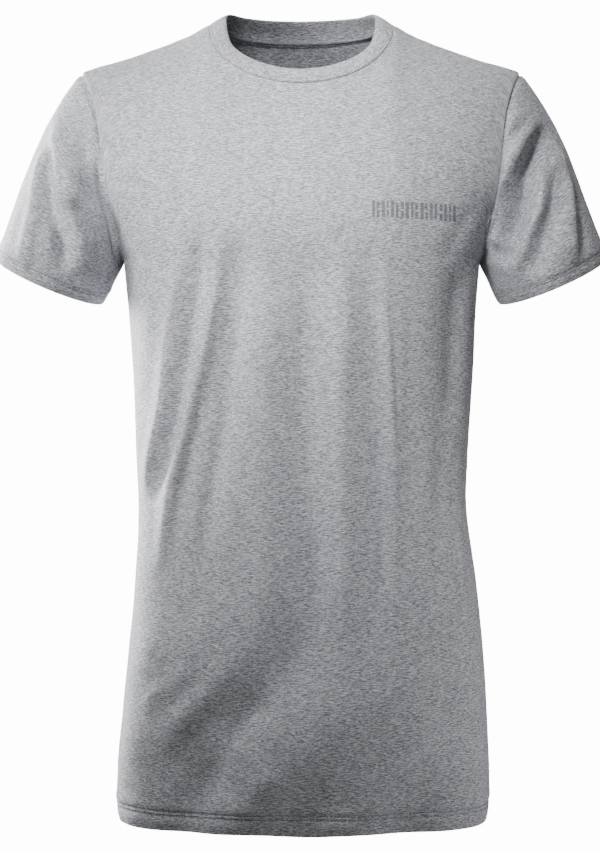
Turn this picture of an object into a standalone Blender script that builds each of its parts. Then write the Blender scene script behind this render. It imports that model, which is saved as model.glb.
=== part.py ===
"""Crew neck T-shirt, filled out as when it is worn: a hollow garment of thin cloth walls.

Frame: metres, +Z up. The front faces -Y and +X is the wearer's left.
Origin: midway between the two high shoulder points, where shoulder seams and neck seam meet.
Sizes below are in millimetres and become metres when a mesh is made.
"""
import math
from collections import namedtuple

import bmesh
import bpy
import numpy as np

# ---------------------------------------------------------------- driving dimensions, mm
MM = 0.001
WALL = 1.5                  # cloth wall of panels and sleeves
HEM_WALL = 2.8              # wall where the cloth is turned up inside
SEAM_GAP = 0.3              # clearance between pieces at a seam
HEM_TURN = 16.0             # turn-up at the bottom hem
CUFF_TURN = 12.0            # turn-up at the sleeve hems
STEP = 1.5                  # length over which a turn-up's edge steps down to the plain wall

HEM_Z = -735.0              # bottom edge of the body
ARMPIT_Z = -220.0           # height at which side seams meet the sleeves
NECK_HALF_WIDTH = 86.0      # half the neck seam's width, at the high shoulder points
SHOULDER_HALF_WIDTH = 205.0  # half the distance between the sleeve heads
NECK_DROP = 62.0            # front neck seam below the high shoulder points
NECK_BACK_Y = 56.0          # depth of the back neck seam behind the origin
BACK_NECK_RISE = 22.0       # how far the back neck stands above the shoulder ridge's line
RIDGE_Y = 8.0               # depth of the shoulder ridge behind the origin
SEAM_TURN = 9.0             # degrees by which the shoulder seam lies forward of the ridge
SECTION_POWER = 2.5         # squareness of the horizontal sections (2 is an ellipse)
FRONT_POWER = 1.65          # roundness of the chest between armpit height and shoulder
BACK_POWER = 2.0            # the same of the back
ARM_OPENING = 0.16          # how far the body's sections reach past the armhole at the shoulder

BAND_HEIGHT = 18.0          # neckband from seam to folded edge
BAND_WALL = 2.2             # folded double cloth
TAPE_WIDTH = 9.5            # tape over the back neck seam
TAPE_WALL = 1.0
TAPE_CLEAR = 0.3            # tape off the back panel's inside

NECK_COLUMNS = 12           # cells across the neck
SHOULDER_COLUMNS = 6        # cells from neck to armhole, each side
LOWER_ROWS = 14             # cells from the hem's turn-up to the armpits
UPPER_ROWS = 10             # cells from the armpits to shoulder seam and neck
SLEEVE_RINGS = 6            # cells from armhole to the cuff's turn-up

# Body sections: height, half width, sideways shift, front and back depth.
Section = namedtuple("Section", "z half_width shift front back")
BODY = [
    Section(-735, 173, 2.5, -118, 118),
    Section(-700, 173, 2.5, -117, 117),
    Section(-640, 170, 3.0, -114, 113),
    Section(-580, 165, 4.0, -110, 107),
    Section(-530, 160, 4.5, -107, 101),
    Section(-490, 156, 3.5, -106, 97),
    Section(-450, 153, 2.0, -107, 95),
    Section(-400, 154, 1.5, -109, 98),
    Section(-350, 156, 1.5, -112, 104),
    Section(-290, 160, 1.5, -116, 112),
    Section(-220, 166, 1.0, -117, 117),
]

# Armhole seam: height and half the width between the armholes.
Armhole = namedtuple("Armhole", "z half_width")
ARMHOLE = [
    Armhole(-220, 166),
    Armhole(-205, 167),
    Armhole(-190, 169),
    Armhole(-165, 176),
    Armhole(-140, 180),
    Armhole(-110, 184),
    Armhole(-80, 190),
    Armhole(-60, 197),
    Armhole(-44, 205),
]

# Shoulder ridge: half width and height over the high shoulder points' seam.
Ridge = namedtuple("Ridge", "x z")
RIDGE = [
    Ridge(0, 3),
    Ridge(60, 3),
    Ridge(86, 3),
    Ridge(100, -5),
    Ridge(116, -12),
    Ridge(140, -21),
    Ridge(170, -31),
    Ridge(195, -38),
    Ridge(205, -42),
]

# Large soft folds in the body cloth: panel, the line's two ends, half width and depth
# (a negative depth stands out).
Fold = namedtuple("Fold", "panel x0 z0 x1 z1 half_width depth")
FOLDS = [
    Fold("front", -18, -590, -150, -690, 34, 9),
    Fold("front", 128, -590, 6, -705, 30, 8),
    Fold("front", 70, -620, -10, -690, 24, -4),
    Fold("front", -60, -590, -140, -650, 22, -4),
    Fold("front", -68, -240, -108, -430, 18, 6),
    Fold("front", -110, -235, -140, -400, 18, 6),
    Fold("front", 140, -260, 132, -420, 20, 5),
    Fold("back", -120, -250, -40, -430, 26, 7),
    Fold("back", 120, -240, 50, -420, 26, 7),
    Fold("back", -130, -690, -20, -590, 30, 7),
    Fold("back", 130, -700, 30, -610, 28, 6),
]

# Sleeve hem: outer and inner corner seen from the front, and how far the front rim hangs lower.
CUFF_OUTER = (286.0, -216.0)
CUFF_INNER = (184.0, -260.0)
CUFF_DEPTH = 114.0
CUFF_CENTRE_Y = -5.0
CUFF_FRONT_DROP = 10.0

# How the sleeve leaves the armhole, for the left sleeve: at its top, front, underarm and back.
Leave = namedtuple("Leave", "turn x y z")
SLEEVE_START = [
    Leave(0.0, 0.67, -0.02, -0.74),
    Leave(0.25, 0.66, -0.25, -0.70),
    Leave(0.5, 0.42, 0.0, -0.90),
    Leave(0.75, 0.66, 0.20, -0.72),
    Leave(1.0, 0.67, -0.02, -0.74),
]

# Finish: colour as linear RGB, roughness.
JERSEY = ("heather_jersey", (0.42, 0.43, 0.45), 0.92)
RIB = ("heather_rib", (0.44, 0.45, 0.47), 0.92)
TAPE = ("cotton_tape", (0.36, 0.37, 0.39), 0.9)


UP = np.array([0.0, 0.0, 1.0])


# ---------------------------------------------------------------- numbers and curves
def along(rows, column, at):
    """Smooth value of one named column of a table, read at a value of its first column."""
    keys = np.array([row[0] for row in rows], dtype=float)
    values = np.array([getattr(row, column) for row in rows], dtype=float)
    slopes = np.gradient(values, keys)
    at = float(np.clip(at, keys[0], keys[-1]))
    i = int(np.clip(np.searchsorted(keys, at) - 1, 0, len(keys) - 2))
    span = keys[i + 1] - keys[i]
    t = (at - keys[i]) / span
    return ((2 * t**3 - 3 * t**2 + 1) * values[i]
            + (t**3 - 2 * t**2 + t) * span * slopes[i]
            + (3 * t**2 - 2 * t**3) * values[i + 1]
            + (t**3 - t**2) * span * slopes[i + 1])


def unit(vectors):
    """Vectors made one long."""
    length = np.linalg.norm(vectors, axis=-1, keepdims=True)
    return vectors / np.maximum(length, 1e-9)


def power_wave(value, power):
    """A sine or cosine bent for a superellipse, with its sign kept."""
    return math.copysign(abs(value) ** (2.0 / power), value)


def fold_depth(panel, x, z):
    """How far the large folds pull the cloth in at a place on a panel."""
    depth = 0.0
    for fold in FOLDS:
        if fold.panel != panel:
            continue
        run = np.array([fold.x1 - fold.x0, fold.z1 - fold.z0])
        here = np.array([x - fold.x0, z - fold.z0])
        length = float(np.linalg.norm(run))
        share = float(np.dot(here, run)) / length**2
        beside = abs(float(run[0] * here[1] - run[1] * here[0])) / length
        past = max(0.0, -share, share - 1.0) * length
        reach = math.hypot(beside, past * 0.6) / fold.half_width
        depth += fold.depth * math.exp(-reach**2)
    return depth


# ---------------------------------------------------------------- form of the body
def column_shares():
    """Places across a panel, from -1 at one armhole to 1 at the other."""
    neck = NECK_HALF_WIDTH / SHOULDER_HALF_WIDTH
    left = [-1.0 + (1.0 - neck) * i / SHOULDER_COLUMNS for i in range(SHOULDER_COLUMNS)]
    even = [2.0 * i / NECK_COLUMNS - 1.0 for i in range(NECK_COLUMNS + 1)]
    middle = [neck * (0.3 * place + 0.7 * math.sin(0.5 * math.pi * place)) for place in even]
    return left + middle + [-share for share in reversed(left)]


def side_share(share):
    """The same place in a full section, where columns lie closer at the sides."""
    return 0.6 * math.sin(0.5 * math.pi * share) + 0.4 * share


def section_fullness(share):
    """Depth of a horizontal section as a share of its middle's, 0 at the side seam."""
    return max(0.0, 1.0 - abs(share) ** SECTION_POWER) ** (1.0 / SECTION_POWER)


def ridge_height(panel, share):
    """Top of a panel's column: the shoulder ridge, or its imagined line across the neck."""
    x = abs(share) * SHOULDER_HALF_WIDTH
    height = along(RIDGE, "z", x)
    if panel == "back" and x < NECK_HALF_WIDTH:
        height += BACK_NECK_RISE * (1.0 - (x / NECK_HALF_WIDTH) ** 2) ** 1.5
    return height


def upper_point(panel, share, angle):
    """Point of a column above the armpits; angle 0 is armpit height, a right angle the ridge."""
    front = panel == "front" or angle > 0.5 * math.pi
    power = FRONT_POWER if front else BACK_POWER
    rise = power_wave(math.sin(angle), power)
    lean = power_wave(abs(math.cos(angle)), power)
    edge_z = ARMPIT_Z + (ridge_height(panel, 1.0) - ARMPIT_Z) * rise
    wide = side_share(share) * (1.0 - rise) + share * rise
    x = BODY[-1].shift * (1.0 - rise) + along(ARMHOLE, "half_width", edge_z) * wide
    opening = 1.0 + ARM_OPENING * min(1.0, 1.6 * math.sin(angle))
    depth = (BODY[-1].front if front else BODY[-1].back) * section_fullness(wide / opening)
    y = RIDGE_Y * rise + (depth - RIDGE_Y * rise) * lean
    return np.array([x, y, ARMPIT_Z + (ridge_height(panel, share) - ARMPIT_Z) * rise])


def seam_angle(panel):
    """Angle of the shoulder seam, which lies forward of the ridge; the back reaches over it."""
    turn = math.radians(SEAM_TURN)
    return 0.5 * math.pi + (turn if panel == "back" else -turn)


def top_angle(panel, share):
    """Angle at which a column ends, in the shoulder seam or in the round of the neck seam."""
    neck = NECK_HALF_WIDTH / SHOULDER_HALF_WIDTH
    seam = seam_angle(panel)
    if abs(share) >= neck - 1e-6:
        return seam
    corner = upper_point(panel, neck, seam)
    low, high = 0.0, seam
    for _ in range(40):
        angle = 0.5 * (low + high)
        point = upper_point(panel, share, angle)
        beside = min(1.0, abs(point[0]) / corner[0])
        round_neck = math.sqrt(1.0 - beside**2)
        if panel == "front":
            short = point[2] < corner[2] - (NECK_DROP + corner[2]) * round_neck
        else:
            short = point[1] > corner[1] + (NECK_BACK_Y - corner[1]) * round_neck
        low, high = (angle, high) if short else (low, angle)
    return 0.5 * (low + high)


def lower_point(panel, share, z):
    """Point of a column between the hem and the armpits."""
    wide = side_share(share)
    full = section_fullness(wide)
    x = along(BODY, "shift", z) + along(BODY, "half_width", z) * wide
    outwards = -1.0 if panel == "front" else 1.0
    y = along(BODY, panel, z) * full - outwards * fold_depth(panel, x, z) * full
    return np.array([x, y, z])


def lower_heights():
    """Heights of the rows from the hem to the armpits."""
    start = HEM_Z + HEM_TURN + STEP
    even = [start + (ARMPIT_Z - start) * i / LOWER_ROWS for i in range(LOWER_ROWS + 1)]
    return [HEM_Z, HEM_Z + HEM_TURN] + even


def column_angles(panel, share):
    """Angles of a column's rows above the armpits; the back keeps a row at the tape's edge."""
    end = top_angle(panel, share)
    if panel == "front":
        return [end * i / UPPER_ROWS for i in range(1, UPPER_ROWS + 1)]
    small = 0.01
    per_turn = np.linalg.norm(upper_point(panel, share, end)
                              - upper_point(panel, share, end - small)) / small
    tape = end - TAPE_WIDTH / per_turn
    rows = UPPER_ROWS - 1
    return [tape * i / rows for i in range(1, rows + 1)] + [end]


def panel_points(panel):
    """Outer points of a body panel: a row for each height, a column for each share."""
    shares = column_shares()
    lower = [[lower_point(panel, share, z) for share in shares] for z in lower_heights()]
    columns = [[upper_point(panel, share, angle) for angle in column_angles(panel, share)]
               for share in shares]
    return np.array(lower + [list(row) for row in zip(*columns)])


# ---------------------------------------------------------------- walls from grids of points
def grid_normals(points, outwards=1.0, closed=False):
    """Unit normals of a grid of points; closed says that its rows run round a tube."""
    if closed:
        across = np.roll(points, -1, axis=1) - np.roll(points, 1, axis=1)
    else:
        across = np.gradient(points, axis=1)
    return unit(np.cross(across, np.gradient(points, axis=0))) * outwards


def share_normals(first, second, where):
    """Give two grids one normal along their common seam."""
    middle = unit(first[where] + second[where])
    first[where] = middle
    second[where] = middle


def pull_in(points, edge, inner, distance):
    """Move a grid's edge along its cloth, away from the seam."""
    points[edge] += unit(points[inner] - points[edge]) * distance


def material(name, colour, roughness):
    """A plain cloth material, made once."""
    found = bpy.data.materials.get(name)
    if found:
        return found
    made = bpy.data.materials.new(name)
    made.use_nodes = True
    shader = made.node_tree.nodes["Principled BSDF"]
    shader.inputs["Base Color"].default_value = (*colour, 1.0)
    shader.inputs["Roughness"].default_value = roughness
    shader.inputs["Metallic"].default_value = 0.0
    return made


def wall_object(name, outer, inner, finish, closed=False):
    """A closed wall between two grids of points, in metres, with its own material."""
    rows, columns = outer.shape[:2]
    made = bmesh.new()
    out = [[made.verts.new(point * MM) for point in row] for row in outer]
    back = [[made.verts.new(point * MM) for point in row] for row in inner]
    cells = [(j, (j + 1) % columns) for j in range(columns if closed else columns - 1)]
    for i in range(rows - 1):
        for j, k in cells:
            made.faces.new([out[i][j], out[i][k], out[i + 1][k], out[i + 1][j]])
            made.faces.new([back[i + 1][j], back[i + 1][k], back[i][k], back[i][j]])
    for j, k in cells:
        made.faces.new([back[0][j], back[0][k], out[0][k], out[0][j]])
        made.faces.new([out[-1][j], out[-1][k], back[-1][k], back[-1][j]])
    if not closed:
        for i in range(rows - 1):
            made.faces.new([out[i][0], out[i + 1][0], back[i + 1][0], back[i][0]])
            made.faces.new([back[i][-1], back[i + 1][-1], out[i + 1][-1], out[i][-1]])
    bmesh.ops.triangulate(made, faces=made.faces)
    bmesh.ops.recalc_face_normals(made, faces=made.faces)
    mesh = bpy.data.meshes.new(name)
    made.to_mesh(mesh)
    made.free()
    mesh.shade_smooth()
    mesh.set_sharp_from_angle(angle=math.radians(40.0))
    mesh.materials.append(material(*finish))
    piece = bpy.data.objects.new(name, mesh)
    bpy.context.scene.collection.objects.link(piece)
    return piece


# ---------------------------------------------------------------- body panels
ARMPIT_ROW = LOWER_ROWS + 2
NECK_SLICE = slice(SHOULDER_COLUMNS, SHOULDER_COLUMNS + NECK_COLUMNS + 1)


def panel_walls():
    """Wall thickness of each row: thicker in the hem's turn-up."""
    walls = np.full(ARMPIT_ROW + UPPER_ROWS + 1, WALL)
    walls[:2] = HEM_WALL
    return walls[:, None, None]


def body_panels():
    """Points and normals of front and back, with one normal at the seams that they share."""
    points = {panel: panel_points(panel) for panel in ("front", "back")}
    normals = {"front": grid_normals(points["front"]), "back": grid_normals(points["back"], -1.0)}
    for side in (0, -1):
        share_normals(normals["front"], normals["back"], (slice(0, ARMPIT_ROW + 1), side))
    beyond_neck = np.r_[0:SHOULDER_COLUMNS + 1, SHOULDER_COLUMNS + NECK_COLUMNS:points["front"].shape[1]]
    share_normals(normals["front"], normals["back"], (-1, beyond_neck))
    return points, normals


def make_panel(name, points, normals):
    """One body panel, its edges drawn back from the seams."""
    outer = points.copy()
    for edge, inner in ((0, 1), (-1, -2)):
        pull_in(outer, (slice(None), edge), (slice(None), inner), 0.5 * SEAM_GAP)
    pull_in(outer, (-1, slice(None)), (-2, slice(None)), 0.5 * SEAM_GAP)
    inner = outer - normals * panel_walls()
    return wall_object(name, outer, inner, JERSEY), inner


# ---------------------------------------------------------------- sleeves
def armhole_loop(points, normals, side):
    """The armhole from the shoulder seam down the front to the armpit and up the back."""
    column = -1 if side > 0 else 0
    rows = slice(ARMPIT_ROW, None)
    loops = []
    for grids in (points, normals):
        front = grids["front"][rows, column][::-1]
        back = grids["back"][rows, column][1:-1]
        loops.append(np.concatenate([front, back]))
    return loops[0], unit(loops[1])


def loop_turns(loop):
    """Place of each point round a closed loop by length, 0 to 1."""
    steps = np.linalg.norm(np.roll(loop, -1, axis=0) - loop, axis=1)
    return np.concatenate([[0.0], np.cumsum(steps)[:-1]]) / steps.sum()


def cuff_ring(turns, side):
    """The sleeve hem: a round opening tilted outwards, its front rim a little lower."""
    outer, inner = np.array(CUFF_OUTER), np.array(CUFF_INNER)
    middle, half = (outer + inner) / 2.0, (outer - inner) / 2.0
    centre = np.array([middle[0], CUFF_CENTRE_Y, middle[1]])
    across = np.array([half[0], 0.0, half[1]])
    front = np.array([0.0, -0.5 * CUFF_DEPTH, -CUFF_FRONT_DROP])
    angle = 2.0 * math.pi * turns[:, None]
    ring = centre + across * np.cos(angle) + front * np.sin(angle)
    axis = unit(np.cross(across, front))
    return ring * [side, 1.0, 1.0], axis * (-1.0 if axis[2] > 0 else 1.0) * [side, 1.0, 1.0]


def make_sleeve(name, points, normals, side):
    """A set-in sleeve swept from the armhole to its round hem."""
    loop, seam_normals = armhole_loop(points, normals, side)
    turns = loop_turns(loop)
    hem, axis = cuff_ring(turns, side)
    leave = unit(np.array([[along(SLEEVE_START, "x", turn) * side,
                            along(SLEEVE_START, "y", turn),
                            along(SLEEVE_START, "z", turn)] for turn in turns]))
    length = np.linalg.norm(hem - loop, axis=1, keepdims=True)
    ends = 1.0 - (CUFF_TURN + STEP) / length
    places = [ends * i / SLEEVE_RINGS for i in range(SLEEVE_RINGS + 1)]
    places += [1.0 - CUFF_TURN / length, np.ones_like(length)]
    rings = []
    for t in places:
        rings.append((2 * t**3 - 3 * t**2 + 1) * loop + (t**3 - 2 * t**2 + t) * length * leave
                     + (3 * t**2 - 2 * t**3) * hem + (t**3 - t**2) * length * axis)
    outer = np.array(rings)
    outer[0] += unit(outer[1] - outer[0]) * 0.5 * SEAM_GAP
    own = grid_normals(outer, side, closed=True)
    bend = np.sum(unit(outer[1] - outer[0]) * seam_normals, axis=1, keepdims=True)
    follow = np.clip(0.5 - bend / 0.3, 0.0, 1.0)
    own[0] = unit(own[0] * (1.0 - follow) + seam_normals * follow)
    walls = np.full(len(places), WALL)
    walls[-2:] = HEM_WALL
    return wall_object(name, outer, outer - own * walls[:, None, None], JERSEY, closed=True)


# ---------------------------------------------------------------- neckband and tape
def neck_loop(grids):
    """The neck seam's round: across the front from -X to +X and back behind the neck."""
    front = grids["front"][-1, NECK_SLICE]
    back = grids["back"][-1, NECK_SLICE][::-1][1:-1]
    return np.concatenate([front, back])


def make_neckband(points, normals):
    """A folded band that stands on the neck seam and leans in towards the neck."""
    seam = neck_loop(points)
    seam_normals = neck_loop(normals)
    ahead = np.roll(seam, -1, axis=0) - np.roll(seam, 1, axis=0)
    inwards = unit(np.stack([-ahead[:, 1], ahead[:, 0], np.zeros(len(seam))], axis=1))
    level = np.abs(inwards[:, :1])
    lean = unit(inwards * (0.58 + 0.30 * level**2) + UP * (0.80 - 0.34 * level**2))
    outwards = unit(np.cross(ahead, lean))
    leave = unit(np.cross(seam_normals, unit(ahead)))
    base = seam + leave * SEAM_GAP
    profile = [(0.0, 0.0, 1.0), (0.3, 0.5, 1.0), (0.65, 0.6, 1.0), (0.92, 0.2, 1.0), (1.0, -0.5, 0.5)]
    outer, inner = [], []
    for height, bulge, wall in profile:
        direction = unit(seam_normals * (1.0 - min(1.0, height * 4)) + outwards * min(1.0, height * 4))
        rim = base + lean * BAND_HEIGHT * height + direction * bulge
        outer.append(rim)
        inner.append(rim - direction * BAND_WALL * wall)
    return wall_object("neckband", np.array(outer), np.array(inner), RIB, closed=True)


def make_tape(inner, normals):
    """The tape along the inside of the back neck seam."""
    rows = inner[-2:, NECK_SLICE] - normals[-2:, NECK_SLICE] * TAPE_CLEAR
    rows = rows.copy()
    rows[1] += unit(rows[0] - rows[1]) * SEAM_GAP
    under = rows - normals[-2:, NECK_SLICE] * TAPE_WALL
    return wall_object("neck_tape", rows, under, TAPE)


def build():
    """The whole garment."""
    for old in list(bpy.data.objects):
        bpy.data.objects.remove(old, do_unlink=True)
    points, normals = body_panels()
    make_panel("front", points["front"], normals["front"])
    back_inner = make_panel("back", points["back"], normals["back"])[1]
    make_sleeve("sleeve_left", points, normals, 1.0)
    make_sleeve("sleeve_right", points, normals, -1.0)
    make_neckband(points, normals)
    make_tape(back_inner, normals["back"])


build()
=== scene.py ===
"""Looks of a crew neck T-shirt in heather grey jersey, filled out as when it is worn.

Each panel is a thin shell on the form of its solid, with its creases, seams, turn-ups and
stitches. Sizes are in millimetres until a mesh is made. The front faces -Y, +Z is up and
+X is the wearer's left.
"""

import math
from collections import namedtuple

import bpy
import numpy as np
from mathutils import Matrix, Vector, noise
from mathutils.bvhtree import BVHTree


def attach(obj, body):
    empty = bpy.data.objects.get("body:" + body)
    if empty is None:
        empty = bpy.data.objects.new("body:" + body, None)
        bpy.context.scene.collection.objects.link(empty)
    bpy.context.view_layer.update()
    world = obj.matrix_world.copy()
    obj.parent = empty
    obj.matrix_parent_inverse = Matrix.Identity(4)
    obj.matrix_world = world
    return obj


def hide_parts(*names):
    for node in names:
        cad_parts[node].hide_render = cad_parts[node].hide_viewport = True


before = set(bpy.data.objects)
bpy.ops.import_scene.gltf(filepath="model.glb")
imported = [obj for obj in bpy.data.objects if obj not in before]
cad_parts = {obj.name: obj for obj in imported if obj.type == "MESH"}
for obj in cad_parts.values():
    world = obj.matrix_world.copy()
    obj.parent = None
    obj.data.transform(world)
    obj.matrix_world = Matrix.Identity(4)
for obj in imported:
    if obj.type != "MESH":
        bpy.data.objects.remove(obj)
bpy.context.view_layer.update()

MM = 0.001


def table(columns, *rows):
    """Rows of a table, each with its columns' names."""
    row_kind = namedtuple("Row", columns)
    return [row_kind(*row) for row in rows]


# ---- form of the garment, mm
HEM_Z = -738.0               # 3 mm below the solids' hem
ARMPIT_Z = -220.0
NECK_HALF_WIDTH = 86.0
SHOULDER_HALF_WIDTH = 205.0
NECK_DROP = 62.0
NECK_BACK_Y = 56.0
BACK_NECK_RISE = 22.0        # how much higher the back stands across the neck, and its curve
BACK_NECK_POWER = 1.5
RIDGE_Y = 8.0
SEAM_TURN = 9.0              # degrees by which the shoulder seam lies forward of the ridge
SECTION_POWER = 2.5
FRONT_POWER = 1.65
BACK_POWER = 2.0
ARM_OPENING = 0.16           # how much wider than the armholes the chest's sections run on
ARM_STEEP = 1.6              # how soon above the armpits that is reached
SIDE_CROWD = 0.6             # how much closer the columns lie at the sides
NECK_EVEN = 0.12             # how evenly they lie over the neck
CLOTH_STEPS = 0.75           # beyond it, how far they follow the cloth's own length

BODY = table(
    "z half_width shift front back",
    (-735, 173, 2.5, -118, 118),
    (-700, 173, 2.5, -117, 117),
    (-640, 170, 3.0, -114, 113),
    (-580, 165, 4.0, -110, 107),
    (-530, 160, 4.5, -107, 101),
    (-490, 156, 3.5, -106, 97),
    (-450, 153, 2.0, -107, 95),
    (-400, 154, 1.5, -109, 98),
    (-350, 156, 1.5, -112, 104),
    (-290, 160, 1.5, -116, 112),
    (-220, 166, 1.0, -117, 117),
)

ARMHOLE = table(
    "z half_width",
    (-220, 166), (-205, 167), (-190, 169), (-165, 176), (-140, 180), (-110, 184), (-80, 190),
    (-60, 197), (-44, 205),
)

RIDGE = table(
    "x z",
    (0, 3), (60, 3), (86, 3), (100, -5), (116, -12), (140, -21), (170, -31), (195, -38), (205, -42),
)

# Large soft folds, as in the solids: a line's two ends, half width and depth. Past its ends a
# fold fades more slowly than beside it.
FOLD_PAST = 0.6
FOLD = "x0 z0 x1 z1 half_width depth"
FOLDS = {
    "front": table(
        FOLD,
        (-18, -590, -150, -690, 34, 9),
        (128, -590, 6, -705, 30, 8),
        (70, -620, -10, -690, 24, -4),
        (-60, -590, -140, -650, 22, -4),
        (-68, -240, -108, -430, 18, 6),
        (-110, -235, -140, -400, 18, 6),
        (140, -260, 132, -420, 20, 5),
    ),
    "back": table(
        FOLD,
        (-120, -250, -40, -430, 26, 7),
        (120, -240, 50, -420, 26, 7),
        (-130, -690, -20, -590, 30, 7),
        (130, -700, 30, -610, 28, 6),
    ),
}

CUFF_OUTER = (286.0, -216.0)
CUFF_INNER = (184.0, -260.0)
CUFF_DEPTH = 114.0
CUFF_CENTRE_Y = -5.0
CUFF_FRONT_DROP = 10.0
SLEEVE_START = table(
    "turn x y z",
    (0.0, 0.67, -0.02, -0.74),
    (0.25, 0.66, -0.25, -0.70),
    (0.5, 0.42, 0.0, -0.90),
    (0.75, 0.66, 0.20, -0.72),
    (1.0, 0.67, -0.02, -0.74),
)

# ---- cloth, seams and stitches, mm
CLOTH = 1.1                  # single jersey, a little thicker than the real 0.7
TURN_UP_CLOTH = 2.1          # where a hem is doubled
TURN_UP_EDGE = 1.2           # over which it thins to single cloth
BODY_TURN_UP = 16.0
CUFF_TURN_UP = 12.0
HEM_STITCHES = (14.6, 18.2)  # two needle rows above the body's hem
CUFF_STITCHES = (8.6, 11.2)  # and above a sleeve's
STITCH_PITCH = 3.1
STITCH = (2.3, 0.8, 0.5)     # a stitch's length, width and height
STITCH_OUT = 0.12            # how far it stands off the cloth
NECK_STITCH_BELOW = 1.4      # the neck's stitches: below the seam, and sunk into it
NECK_STITCH_SUNK = 0.35
ARMPIT_POCKET = {"sleeve_left": 4.0, "sleeve_right": 9.0}   # how deep a sleeve sinks beside the armpit
BAND_HEIGHT = 18.0

NECK_COLUMNS = 60
SIDE_COLUMNS = 42
CELL = 3.3                   # height of the body's rows
UPPER_ROWS = 62
SLEEVE_ROWS = 50
HEM_FOLD_ROWS = [0.0, 0.35, 0.9, 1.8, 3.4, 5.6]
BESIDE_STITCHES = (-1.0, -0.4, 0.0, 0.4, 1.0)
ABOVE_STITCHES = (2.2, 4.0)
ABOVE_TURN_UP = 7.0
CLOSEST = 0.3                # rows any nearer to each other are one
SEAM_LINES = ((0.7, 0.33), (1.8, 0.66))     # distances from a seam, and their most in cells
FINE = 400                   # places at which a curve's length is measured
FINE_ANGLES = 240
HALVINGS = 40                # steps of halving to find where a column ends

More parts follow.
